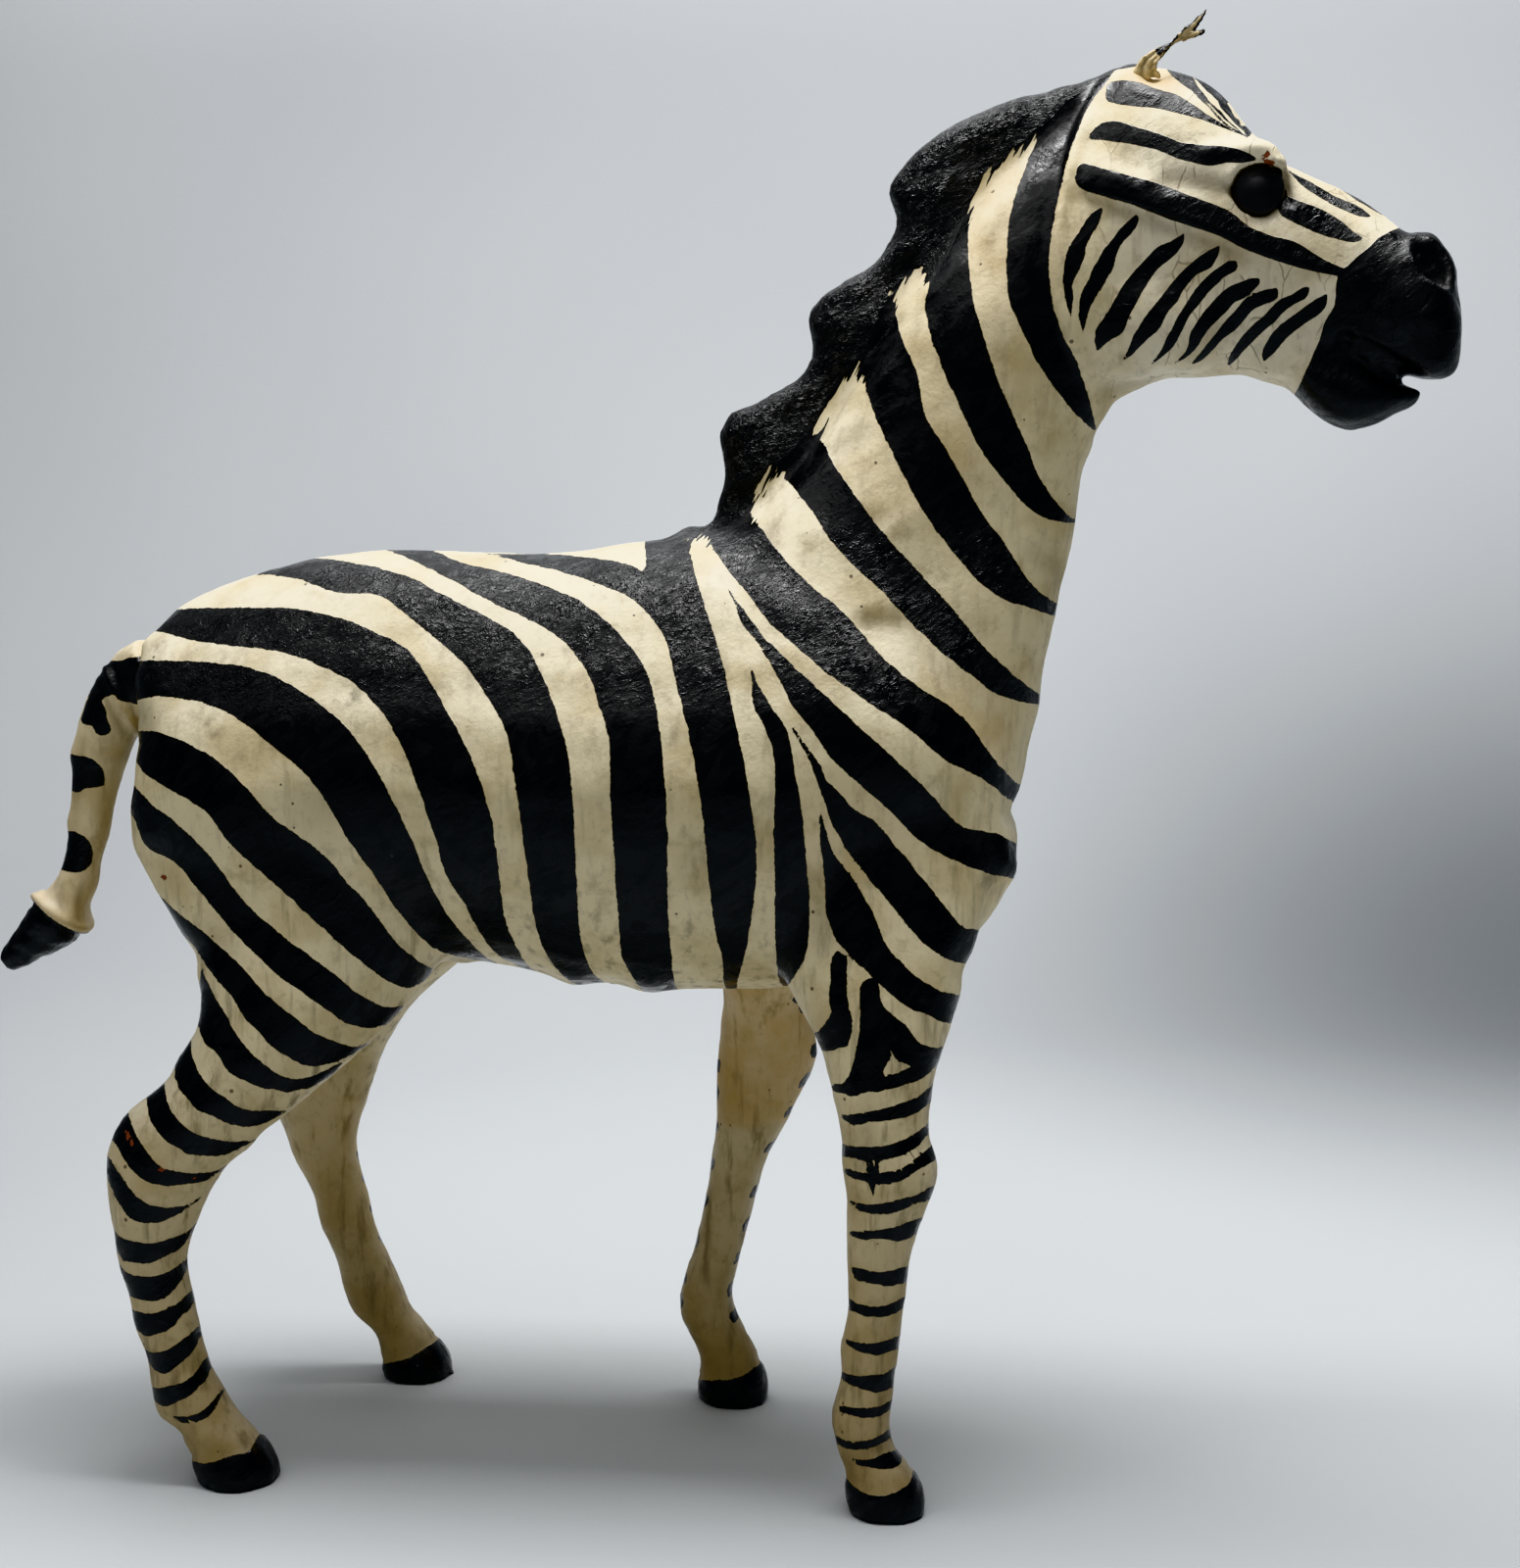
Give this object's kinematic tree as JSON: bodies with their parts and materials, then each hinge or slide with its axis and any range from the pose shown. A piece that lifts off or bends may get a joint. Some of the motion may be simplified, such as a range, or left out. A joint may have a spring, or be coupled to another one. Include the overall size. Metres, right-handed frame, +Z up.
{
  "type": "animal figurine",
  "caption": "Standing zebra figurine of painted leather over a solid core, with its head turned a little to one side, shrunken leather ears, glass eyes and a hanging tail.",
  "frame": {"origin": "on the floor, under the middle of the figurine's bounding box", "axes": "+Z up from the hoof soles, +X towards the head, +Y towards the figurine's left side"},
  "size_m": [0.326, 0.09, 0.3177],
  "materials": {
    "painted_leather": "semi-gloss cream paint with glossy black stripes",
    "bare_leather": "dry, shrunken raw leather with worn paint",
    "black_glass": "polished black"
  },
  "bodies": {
    "root": {"leather_body": "painted_leather", "leather_tail": "painted_leather", "right_leather_ear": "bare_leather", "left_leather_ear": "bare_leather", "right_glass_eye": "black_glass", "left_glass_eye": "black_glass"}
  },
  "joints": []
}
